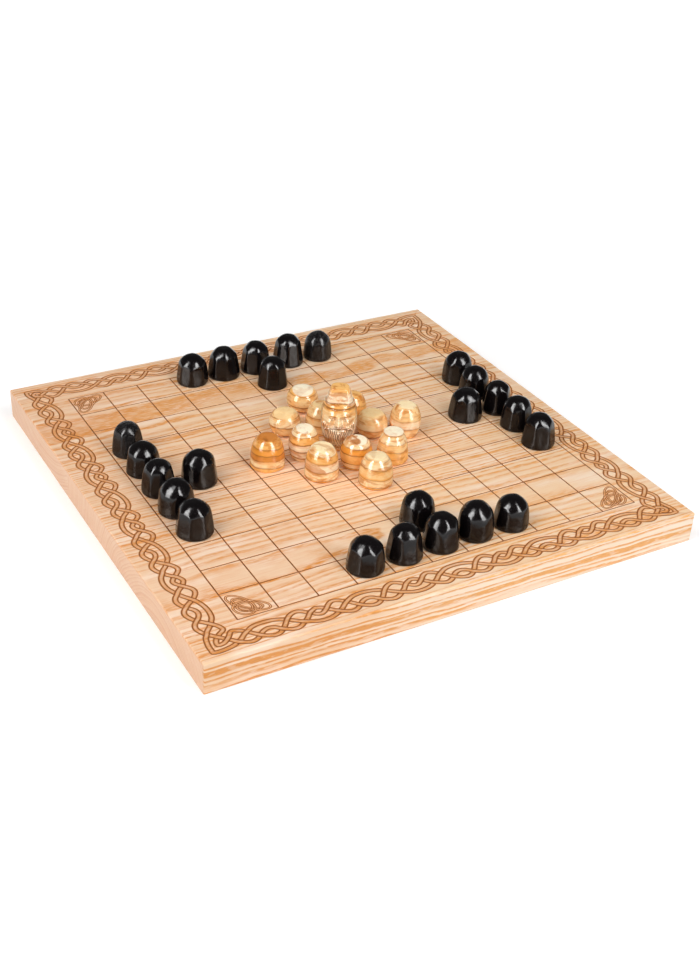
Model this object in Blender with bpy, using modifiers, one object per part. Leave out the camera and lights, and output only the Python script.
"""A hnefatafl set, set out for the start of a game: a solid ash board engraved with an 11 by 11
grid, 24 black attackers round its edges, and 12 pale defenders round their king in the middle.
The playing pieces are turned blanks cut to shape with a knife, so each one differs a little.

The origin is the middle of the board's underside. +Z is up, and the grain runs along X.
"""

import math

import bmesh
import bpy
from mathutils import Matrix, Vector

MM = 0.001

# Grid and board
SQUARES = 11
GRID_LENGTH = 330 * MM
MARGIN_LEFT = 38.7 * MM
MARGIN_RIGHT = 32.4 * MM
MARGIN_FRONT = 32.1 * MM
MARGIN_BACK = 36 * MM
BOARD_THICKNESS = 25 * MM
BOARD_EDGE_RADIUS = 3 * MM
BOARD_EDGE_STEPS = 3
GROOVE_WIDTH = 0.9 * MM
GROOVE_DEPTH_ALONG_GRAIN = 0.5 * MM
GROOVE_DEPTH_ACROSS_GRAIN = 0.7 * MM
GROOVE_OVERRUN = 0.3 * MM

# Playing pieces
SEAT_GAP = 0.3 * MM
PIECE_CLEARANCE = 3.5 * MM
ATTACKER_HEIGHT = 25 * MM
DEFENDER_HEIGHT = 25.4 * MM
PIECE_STEPS = 20

# The king, a bearded head in a tall cap, which tapers to the foot that it stands on
KING_CLEARANCE = 1.4 * MM
KING_HEIGHT = 54 * MM
KING_STEPS = 42
KING_FACING = math.radians(-120)
KING_PLACE_SHARE = (0.03, 0.10)
NOSE_HEIGHT = 3.0 * MM
BROW_HEIGHT = 0.7 * MM
EYE_DEPTH = 1.4 * MM
CHEEK_HEIGHT = 0.6 * MM
MOUSTACHE_HEIGHT = 1.6 * MM
MOUTH_DEPTH = 0.8 * MM
BEARD_HEIGHT = 1.3 * MM
HAIR_HEIGHT = 0.8 * MM

# Points closer than this are one point
WELD = 0.01 * MM

ASH_COLOUR = (0.80, 0.55, 0.33)
BLACK_COLOUR = (0.012, 0.011, 0.011)
PALE_COLOUR = (0.82, 0.52, 0.22)

SQUARE = GRID_LENGTH / SQUARES
BOARD_LENGTH = MARGIN_LEFT + GRID_LENGTH + MARGIN_RIGHT
BOARD_WIDTH = MARGIN_FRONT + GRID_LENGTH + MARGIN_BACK
GRID_LEFT = MARGIN_LEFT - BOARD_LENGTH / 2
GRID_FRONT = MARGIN_FRONT - BOARD_WIDTH / 2
PIECE_RADIUS = (SQUARE - PIECE_CLEARANCE) / 2
KING_RADIUS = (SQUARE - KING_CLEARANCE) / 2

# Outlines down the outer side: share of the radius, share of the height
DOME_SHARES = (
    (0.22, 1.0), (0.46, 0.955), (0.66, 0.87), (0.81, 0.75), (0.91, 0.60), (0.97, 0.40), (1.0, 0.06),
    (0.975, 0.0),
)
BEEHIVE_SHARES = (
    (0.48, 1.0), (0.64, 0.93), (0.80, 0.79), (0.91, 0.63), (0.98, 0.44), (1.0, 0.26), (0.98, 0.10),
    (0.92, 0.0),
)
BARREL_SHARES = (
    (0.50, 1.0), (0.71, 0.91), (0.88, 0.74), (0.98, 0.55), (1.0, 0.42), (0.95, 0.24), (0.87, 0.08),
    (0.82, 0.0),
)
SQUAT_SHARES = (
    (0.54, 1.0), (0.75, 0.91), (0.91, 0.74), (0.99, 0.56), (1.0, 0.44), (0.92, 0.24), (0.74, 0.07),
    (0.60, 0.0),
)
BUTTON_SHARES = (
    (0.56, 1.0), (0.62, 0.97), (0.60, 0.91), (0.76, 0.79), (0.87, 0.64), (0.94, 0.46), (1.0, 0.24),
    (1.0, 0.06), (0.97, 0.0),
)
KING_SHARES = (
    (0.42, 1.0), (0.51, 0.985), (0.60, 0.945), (0.66, 0.93), (0.71, 0.87), (0.76, 0.815), (0.80, 0.80),
    (0.835, 0.755), (0.835, 0.735), (0.79, 0.72), (0.80, 0.71), (0.90, 0.695), (0.95, 0.67), (0.97, 0.64),
    (0.98, 0.61), (0.985, 0.58), (0.99, 0.55), (0.995, 0.52), (1.0, 0.49), (1.0, 0.46), (0.99, 0.43),
    (0.98, 0.395), (0.96, 0.35), (0.92, 0.29), (0.85, 0.235), (0.77, 0.17), (0.68, 0.105), (0.62, 0.04),
    (0.59, 0.0),
)

# The king's features as shares of his height, with hairline, brow, nose and chin in even thirds, and
# how far each one spreads, up and down as a share of his height and round him in radians
BROW_SHARE = 0.62
CHIN_SHARE = 0.36
THIRD_SHARE = (BROW_SHARE - CHIN_SHARE) / 2
NOSE_BASE_SHARE = CHIN_SHARE + THIRD_SHARE
EYE_SHARE = BROW_SHARE - THIRD_SHARE / 3
MOUSTACHE_SHARE = NOSE_BASE_SHARE - THIRD_SHARE / 6
MOUTH_SHARE = NOSE_BASE_SHARE - THIRD_SHARE / 3
CAP_FOOT_SHARE = 0.80
BAND_SHARE = 0.03
MOUSTACHE_DROOP_SHARE = 0.06
FACE_CROWDING_SHARE = 0.35
CAP_SIDES = 4
CAP_FLAT_SHARE = 0.45
NOSE_SPREAD = 0.16
EYE_BEARING = 0.42
EYE_SPREAD = 0.22
CHEEK_BEARING = 0.62
CHEEK_SPREAD = 0.24
BROW_SPREAD = (0.7, 1.1)
MOUTH_SPREAD = 0.3
MOUSTACHE_SPREAD = (0.5, 0.85)
BEARD_SPREAD = (0.75, 1.05)
HAIR_SPREAD = (1.15, 1.45)

# Column and row: place across and along off the square's middle as shares of a square, shares of
# the common radius and height, number of side cuts, and their turn in degrees
ATTACKER_SHARES = {
    (3, 10): (0.03, 0.08, 1.00, 0.97, 7, 12), (4, 10): (0.01, 0.07, 1.03, 1.00, 8, 40),
    (5, 10): (0.00, 0.03, 0.98, 1.00, 7, 5), (6, 10): (0.05, 0.03, 1.00, 1.02, 8, 28),
    (7, 10): (0.02, 0.01, 0.93, 0.93, 7, 50), (5, 9): (0.02, -0.03, 0.99, 0.98, 8, 8),
    (0, 7): (-0.04, 0.14, 0.94, 1.00, 7, 33), (0, 6): (-0.05, 0.10, 0.99, 0.96, 8, 15),
    (0, 5): (-0.04, 0.06, 0.98, 1.00, 7, 25), (0, 4): (0.00, 0.06, 1.02, 1.01, 8, 2),
    (0, 3): (0.02, 0.01, 1.04, 1.00, 7, 44), (1, 5): (0.04, 0.05, 1.04, 1.01, 7, 18),
    (3, 0): (-0.04, -0.01, 1.04, 0.94, 7, 36), (4, 0): (0.01, -0.01, 1.00, 1.00, 8, 20),
    (5, 0): (0.03, 0.01, 1.02, 1.02, 7, 10), (6, 0): (0.03, 0.05, 1.01, 1.06, 8, 30),
    (7, 0): (0.06, 0.03, 0.98, 0.94, 7, 0), (5, 1): (0.01, 0.05, 0.98, 1.03, 8, 38),
    (10, 7): (0.03, 0.00, 1.00, 1.03, 7, 22), (10, 6): (-0.03, 0.06, 0.97, 1.02, 8, 6),
    (10, 5): (0.05, 0.02, 0.94, 1.01, 7, 41), (10, 4): (0.03, 0.04, 1.00, 1.02, 8, 13),
    (10, 3): (0.01, -0.01, 1.03, 1.02, 7, 29), (9, 5): (0.03, 0.06, 1.06, 0.98, 8, 24),
}
# The same places and shares, then the outline, and the lean and bearing of the cut across the top
DEFENDER_SHARES = {
    (5, 7): (0.13, 0.33, 1.00, 0.76, SQUAT_SHARES, 16, -115),
    (4, 6): (0.10, 0.36, 0.98, 0.77, SQUAT_SHARES, 17, -150),
    (5, 6): (0.03, 0.09, 0.93, 0.96, BEEHIVE_SHARES, 8, 20),
    (6, 6): (0.05, 0.20, 0.98, 0.98, BEEHIVE_SHARES, 10, 60),
    (3, 5): (-0.06, 0.05, 1.03, 0.99, BEEHIVE_SHARES, 6, -60),
    (4, 5): (-0.02, 0.03, 0.92, 1.03, BARREL_SHARES, 12, -110),
    (6, 5): (0.17, 0.30, 0.98, 0.79, SQUAT_SHARES, 5, 90),
    (7, 5): (0.02, -0.02, 0.98, 1.04, BARREL_SHARES, 9, -60),
    (4, 4): (-0.03, 0.02, 1.01, 1.02, BEEHIVE_SHARES, 7, -70),
    (5, 4): (0.02, 0.10, 0.97, 0.90, BARREL_SHARES, 10, -85),
    (6, 4): (0.03, -0.04, 0.95, 0.98, BUTTON_SHARES, 7, -160),
    (5, 3): (0.05, 0.13, 1.01, 0.94, BEEHIVE_SHARES, 6, 70),
}

# Knife cuts: their depths as shares of the reach to the turned surface, their leans in degrees up
# from level, and how far the knife strays either way
SIDE_CUT_SHARE = 0.085
SIDE_CUT_LEAN = 3.5
SIDE_LEAN_STRAY = 1
SHOULDER_CUTS = 5
SHOULDER_CUT_SHARE = 0.055
SHOULDER_LEAN = 48
SHOULDER_LEAN_STRAY = 6
CROWN_CUT_SHARE = 0.045
CROWN_LEAN = 5
TURN_STRAY_SHARE = 0.15
DEPTH_STRAY_SHARE = 0.3
CROWN_RISE_SHARE = 0.2


def clear_scene():
    for obj in list(bpy.data.objects):
        bpy.data.objects.remove(obj, do_unlink=True)


def new_collection(name, helper=False):
    found = bpy.data.collections.new(name)
    found.hide_render = helper
    bpy.context.scene.collection.children.link(found)
    return found


def finish_of(name, colour, roughness):
    """The material of one node."""
    material = bpy.data.materials.new(name)
    material.use_nodes = True
    shader = material.node_tree.nodes["Principled BSDF"]
    shader.inputs["Base Color"].default_value = (*colour, 1)
    shader.inputs["Roughness"].default_value = roughness
    shader.inputs["Metallic"].default_value = 0
    return material


def object_of(name, mesh, collection, material=None):
    obj = bpy.data.objects.new(name, mesh)
    collection.objects.link(obj)
    if material:
        mesh.materials.append(material)
    return obj


def mesh_of(form, name):
    """The mesh of a bmesh, which it frees."""
    mesh = bpy.data.meshes.new(name)
    bmesh.ops.recalc_face_normals(form, faces=form.faces[:])
    form.to_mesh(mesh)
    form.free()
    return mesh


def smooth(obj, angle):
    obj.data.shade_smooth()
    obj.data.set_sharp_from_angle(angle=math.radians(angle))


# Board


def board_blank(parts):
    form = bmesh.new()
    size = Matrix.Diagonal((BOARD_LENGTH, BOARD_WIDTH, BOARD_THICKNESS, 1))
    bmesh.ops.create_cube(form, size=1, matrix=Matrix.Translation((0, 0, BOARD_THICKNESS / 2)) @ size)
    blank = object_of("board", mesh_of(form, "board"), parts, finish_of("board", ASH_COLOUR, 0.32))
    edges = blank.modifiers.new("eased edges", "BEVEL")
    edges.width = BOARD_EDGE_RADIUS
    edges.segments = BOARD_EDGE_STEPS
    edges.limit_method = "ANGLE"
    return blank


def groove_cutter(name, helpers, depth, along_x):
    """Twelve V cutters side by side, each running just past the outer lines of the grid."""
    form = bmesh.new()
    length = GRID_LENGTH + GROOVE_WIDTH + 2 * GROOVE_OVERRUN
    shape = Matrix.Rotation(math.radians(90), 4, "X") @ Matrix.Diagonal((GROOVE_WIDTH / 2, depth, length, 1))
    if along_x:
        shape = Matrix.Rotation(math.radians(90), 4, "Z") @ shape
    bmesh.ops.create_cone(form, segments=4, radius1=1, radius2=1, depth=1, cap_ends=True, matrix=shape)
    cutter = object_of(name, mesh_of(form, name), helpers)
    middle = GRID_LENGTH / 2
    first = (GRID_LEFT + middle, GRID_FRONT) if along_x else (GRID_LEFT, GRID_FRONT + middle)
    cutter.location = (*first, BOARD_THICKNESS)
    cutter.hide_render = True
    cutter.display_type = "WIRE"
    row = cutter.modifiers.new("lines", "ARRAY")
    row.count = SQUARES + 1
    row.use_relative_offset = False
    row.use_constant_offset = True
    row.constant_offset_displace = (0, SQUARE, 0) if along_x else (SQUARE, 0, 0)
    return cutter


def make_board(parts, helpers):
    board = board_blank(parts)
    for name, depth, along_x in (
        ("grooves_along_grain", GROOVE_DEPTH_ALONG_GRAIN, True),
        ("grooves_across_grain", GROOVE_DEPTH_ACROSS_GRAIN, False),
    ):
        cut = board.modifiers.new(name, "BOOLEAN")
        cut.operation = "DIFFERENCE"
        cut.object = groove_cutter(name, helpers, depth, along_x)
    return board


# Turned blanks and knife cuts


def turned(shares, radius, height, steps):
    """A solid turned from an outline of shares, closed at its top and its foot."""
    mesh = bpy.data.meshes.new("profile")
    points = [(0, 0, height), *[(radius * r, 0, height * z) for r, z in shares], (0, 0, 0)]
    mesh.from_pydata(points, [(i, i + 1) for i in range(len(points) - 1)], [])
    profile = bpy.data.objects.new("profile", mesh)
    bpy.context.scene.collection.objects.link(profile)
    turn = profile.modifiers.new("turn", "SCREW")
    turn.steps = steps
    turn.render_steps = steps
    turn.use_merge_vertices = True
    turn.merge_threshold = WELD
    graph = bpy.context.evaluated_depsgraph_get()
    form = bmesh.new()
    form.from_mesh(profile.evaluated_get(graph).to_mesh())
    bpy.data.objects.remove(profile, do_unlink=True)
    bpy.data.meshes.remove(mesh)
    return form


def knife_cut(form, point, normal):
    """Takes away what lies beyond a plane, and closes the body there with one flat face."""
    every = form.verts[:] + form.edges[:] + form.faces[:]
    bmesh.ops.bisect_plane(form, geom=every, dist=WELD, plane_co=point, plane_no=normal, clear_outer=True)
    rim = [edge for edge in form.edges if edge.is_boundary]
    if rim:
        bmesh.ops.holes_fill(form, edges=rim, sides=0)


def direction(bearing, lean):
    """A unit vector at a bearing round Z, leaning up from level, both in degrees."""
    level = math.cos(math.radians(lean))
    turn = math.radians(bearing)
    return Vector((level * math.cos(turn), level * math.sin(turn), math.sin(math.radians(lean))))


def hand_drift(count, seed):
    """How far a knife strays at each of its cuts, from -1 to 1, the same on every run."""
    return [math.sin(12.9 * (k + 1) + 4.7 * seed) for k in range(count)]


def outline_reach(shares, radius, height, lean):
    """How far an outline reaches along a direction that leans up from level."""
    rise = math.radians(lean)
    return max(radius * r * math.cos(rise) + height * z * math.sin(rise) for r, z in shares)


def side_cuts(radius, count, turn, seed):
    """The planes that cut flats round a piece, each as its reach and its direction."""
    for k, drift in enumerate(hand_drift(count, seed)):
        bearing = turn + (k + TURN_STRAY_SHARE * drift) * 360 / count
        depth_share = SIDE_CUT_SHARE * (1 + DEPTH_STRAY_SHARE * drift)
        yield radius * (1 - depth_share), direction(bearing, SIDE_CUT_LEAN + SIDE_LEAN_STRAY * drift)


def shoulder_cuts(radius, height, turn, seed):
    """The same for the cuts that slope in to the crown."""
    for k, drift in enumerate(hand_drift(SHOULDER_CUTS, seed)):
        bearing = turn + (k + TURN_STRAY_SHARE * drift) * 360 / SHOULDER_CUTS
        lean = SHOULDER_LEAN + SHOULDER_LEAN_STRAY * drift
        depth_share = SHOULDER_CUT_SHARE * (1 + DEPTH_STRAY_SHARE * drift)
        yield outline_reach(DOME_SHARES, radius, height, lean) * (1 - depth_share), direction(bearing, lean)


def whittle_attacker(form, radius, height, count, turn):
    seed = count + turn
    crown = (height * (1 - CROWN_CUT_SHARE), direction(3 * turn, 90 - CROWN_LEAN))
    sides = side_cuts(radius, count, turn, seed)
    for reach, normal in (*sides, *shoulder_cuts(radius, height, 2 * turn, seed + 1), crown):
        knife_cut(form, normal * reach, normal)


def place_of(column, row, across_share, along_share):
    """Where a playing piece stands, on the board's top."""
    x = GRID_LEFT + (column + 0.5 + across_share) * SQUARE
    y = GRID_FRONT + (row + 0.5 + along_share) * SQUARE
    return x, y, BOARD_THICKNESS + SEAT_GAP


def make_attackers(parts):
    for count, ((column, row), values) in enumerate(ATTACKER_SHARES.items(), 1):
        across, along, radius_share, height_share, cuts, turn = values
        radius = PIECE_RADIUS * radius_share
        blank_height = ATTACKER_HEIGHT * height_share / (1 - CROWN_CUT_SHARE)
        name = f"attacker_{count:02d}"
        form = turned(DOME_SHARES, radius, blank_height, PIECE_STEPS)
        whittle_attacker(form, radius, blank_height, cuts, turn)
        piece = object_of(name, mesh_of(form, name), parts, finish_of(name, BLACK_COLOUR, 0.16))
        piece.location = place_of(column, row, across, along)
        smooth(piece, 24)


def make_defenders(parts):
    for count, ((column, row), values) in enumerate(DEFENDER_SHARES.items(), 1):
        across, along, radius_share, height_share, shares, lean, bearing = values
        radius = PIECE_RADIUS * radius_share
        height = DEFENDER_HEIGHT * height_share
        name = f"defender_{count:02d}"
        form = turned(shares, radius, height, PIECE_STEPS)
        crown = direction(bearing, 90 - lean)
        rise = CROWN_RISE_SHARE * radius * shares[0][0] * math.sin(math.radians(lean))
        knife_cut(form, Vector((0, 0, height)) + crown * rise, crown)
        piece = object_of(name, mesh_of(form, name), parts, finish_of(name, PALE_COLOUR, 0.2))
        piece.location = place_of(column, row, across, along)
        smooth(piece, 30)


# King


def bump(value, middle, width):
    """A smooth hill of height 1 round a middle."""
    return math.exp(-(((value - middle) / width) ** 2))


def ramp(value, low, high):
    """Rises smoothly from 0 at low to 1 at high."""
    share = min(max((value - low) / (high - low), 0), 1)
    return share * share * (3 - 2 * share)


def king_relief(turn, rise):
    """How far the king's carving stands proud of the turned blank at a bearing off his nose, in
    radians, and a share of his height."""
    side = abs(turn)
    below_brow = 1 - ramp(rise, NOSE_BASE_SHARE, BROW_SHARE + BAND_SHARE)
    above_lip = ramp(rise, MOUSTACHE_SHARE, NOSE_BASE_SHARE + BAND_SHARE / 3)
    nose = NOSE_HEIGHT * bump(side, 0, NOSE_SPREAD) * below_brow * above_lip
    brow = BROW_HEIGHT * bump(rise, BROW_SHARE, BAND_SHARE) * (1 - ramp(side, *BROW_SPREAD))
    eyes = EYE_DEPTH * bump(side, EYE_BEARING, EYE_SPREAD) * bump(rise, EYE_SHARE, BAND_SHARE)
    cheeks = CHEEK_HEIGHT * bump(side, CHEEK_BEARING, CHEEK_SPREAD) * bump(rise, NOSE_BASE_SHARE, BAND_SHARE)
    droop = MOUSTACHE_SHARE - MOUSTACHE_DROOP_SHARE * side
    wings = MOUSTACHE_HEIGHT * bump(rise, droop, BAND_SHARE) * (1 - ramp(side, *MOUSTACHE_SPREAD))
    mouth = MOUTH_DEPTH * bump(rise, MOUTH_SHARE, BAND_SHARE / 2) * bump(side, 0, MOUTH_SPREAD)
    beard = BEARD_HEIGHT * (1 - ramp(side, *BEARD_SPREAD)) * (1 - ramp(rise, CHIN_SHARE, MOUSTACHE_SHARE))
    hair = HAIR_HEIGHT * ramp(side, *HAIR_SPREAD) * (1 - ramp(rise, BROW_SHARE, CAP_FOOT_SHARE))
    return nose + brow - eyes + cheeks + wings - mouth + (beard + hair) * ramp(rise, 0, CHIN_SHARE / 2)


def cap_flats(turn, rise):
    """The cap's soft flats as a share of its radius, fading out at the band round its foot."""
    step = 2 * math.pi / CAP_SIDES
    off = (turn + step / 2) % step - step / 2
    flat = CAP_FLAT_SHARE * (math.cos(step / 2) / math.cos(off) - 1)
    return 1 + flat * ramp(rise, CAP_FOOT_SHARE, CAP_FOOT_SHARE + BAND_SHARE)


def carve_king(form):
    """Carves the turned blank, after crowding its points towards the face, at +X."""
    for vertex in form.verts:
        blank = math.hypot(vertex.co.x, vertex.co.y)
        if blank < KING_RADIUS / KING_STEPS:
            continue
        rise = vertex.co.z / KING_HEIGHT
        turn = math.atan2(vertex.co.y, vertex.co.x)
        turn -= FACE_CROWDING_SHARE * math.sin(turn)
        reach = blank * cap_flats(turn, rise) + king_relief(turn, rise)
        vertex.co.x = reach * math.cos(turn)
        vertex.co.y = reach * math.sin(turn)


def make_king(parts):
    form = turned(KING_SHARES, KING_RADIUS, KING_HEIGHT, KING_STEPS)
    carve_king(form)
    king = object_of("king", mesh_of(form, "king"), parts, finish_of("king", PALE_COLOUR, 0.2))
    middle = SQUARES // 2
    king.location = place_of(middle, middle, *KING_PLACE_SHARE)
    king.rotation_euler.z = KING_FACING
    smooth(king, 40)


def main():
    clear_scene()
    parts = new_collection("hnefatafl_board")
    helpers = new_collection("cutters", helper=True)
    make_board(parts, helpers)
    make_king(parts)
    make_defenders(parts)
    make_attackers(parts)


main()
